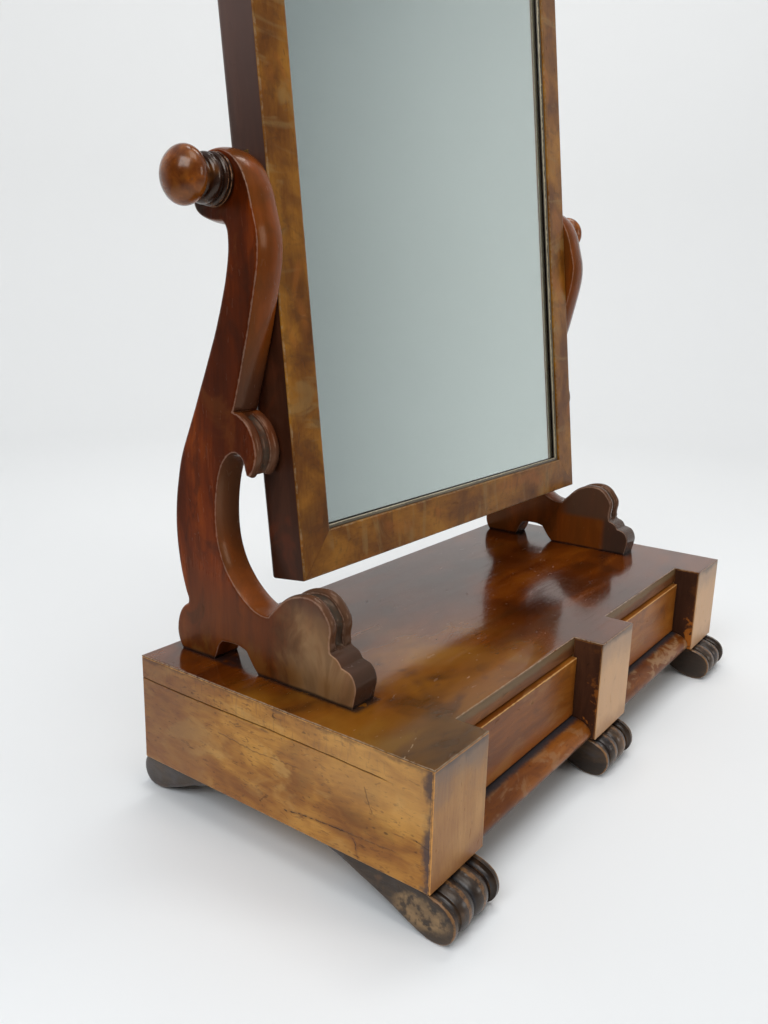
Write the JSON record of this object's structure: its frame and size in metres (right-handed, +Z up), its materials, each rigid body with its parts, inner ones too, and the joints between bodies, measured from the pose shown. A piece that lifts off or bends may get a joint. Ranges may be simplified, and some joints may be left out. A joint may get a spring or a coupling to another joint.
{
  "type": "swing dressing mirror",
  "caption": "Table-top swing mirror: a framed glass tilts between two scrolled uprights on a breakfront box base with two drawers and scroll feet.",
  "frame": {"origin": "on the surface it stands on, under the centre of the whole object", "axes": "+Z up, -Y is the front with the drawers and the glass, +X to the right seen from the front"},
  "size_m": [0.686, 0.356, 0.8663],
  "materials": {
    "mahogany_veneer": "worn french polish on mahogany veneer, golden brown",
    "mahogany_top": "glossy french polish, red-brown with darker stains",
    "mahogany_dark": "glossy dark red-brown polish",
    "frame_veneer": "polished crossbanded mahogany veneer",
    "feet_wood": "dark polish worn to pale wood on the edges",
    "pine": "unfinished pine, aged",
    "looking_glass": "silvered plate glass",
    "brass": "dull old brass",
    "steel": "dull iron"
  },
  "bodies": {
    "base": {"top_veneer": "mahogany_top", "top_board": "pine", "side_board_left": "mahogany_veneer", "side_board_right": "mahogany_veneer", "bottom_board": "pine", "back_board": "pine", "front_block_left": "mahogany_veneer", "block_veneer_left": "mahogany_veneer", "front_block_centre": "mahogany_veneer", "block_veneer_centre": "mahogany_veneer", "front_block_right": "mahogany_veneer", "block_veneer_right": "mahogany_veneer", "lower_rail_left": "mahogany_veneer", "lower_rail_right": "mahogany_veneer", "drawer_partition_1": "pine", "drawer_partition_2": "pine", "drawer_partition_3": "pine", "drawer_partition_4": "pine", "foot_front_left": "feet_wood", "foot_front_centre": "feet_wood", "foot_front_right": "feet_wood", "foot_rear_left": "feet_wood", "foot_rear_right": "feet_wood", "upright_left": "mahogany_dark", "upright_right": "mahogany_dark", "upright_screw_left_front": "steel", "upright_screw_left_rear": "steel", "upright_screw_right_front": "steel", "upright_screw_right_rear": "steel"},
    "drawer_left": {"drawer_left_front": "mahogany_veneer", "drawer_left_side_1": "pine", "drawer_left_side_2": "pine", "drawer_left_back": "pine", "drawer_left_bottom": "pine"},
    "drawer_right": {"drawer_right_front": "mahogany_veneer", "drawer_right_side_1": "pine", "drawer_right_side_2": "pine", "drawer_right_back": "pine", "drawer_right_bottom": "pine"},
    "mirror": {"mirror_stile_left": "frame_veneer", "glass_slip_left": "frame_veneer", "mirror_stile_right": "frame_veneer", "glass_slip_right": "frame_veneer", "mirror_rail_top": "frame_veneer", "glass_slip_top": "frame_veneer", "mirror_rail_bottom": "frame_veneer", "glass_slip_bottom": "frame_veneer", "mirror_glass": "looking_glass", "mirror_backboard": "pine", "pivot_plate_left": "brass", "pivot_plate_right": "brass"},
    "knob_left": {"knob_left": "mahogany_dark", "pivot_spindle_left": "steel"},
    "knob_right": {"knob_right": "mahogany_dark", "pivot_spindle_right": "steel"}
  },
  "joints": [
    {"name": "mirror_tilt", "type": "hinge", "parent": "base", "child": "mirror", "pos_m": [0, 0.086, 0.54], "axis": [-1, 0, 0], "range_deg": [-80, 80]},
    {"name": "drawer_left_slide", "type": "slide", "parent": "base", "child": "drawer_left", "axis": [0, -1, 0], "range_m": [0, 0.19]},
    {"name": "drawer_right_slide", "type": "slide", "parent": "base", "child": "drawer_right", "axis": [0, -1, 0], "range_m": [0, 0.19]},
    {"name": "knob_left_turn", "type": "hinge", "parent": "base", "child": "knob_left", "pos_m": [-0.295, 0.086, 0.54], "axis": [-1, 0, 0], "range_deg": [-180, 180]},
    {"name": "knob_right_turn", "type": "hinge", "parent": "base", "child": "knob_right", "pos_m": [0.295, 0.086, 0.54], "axis": [1, 0, 0], "range_deg": [-180, 180]}
  ]
}
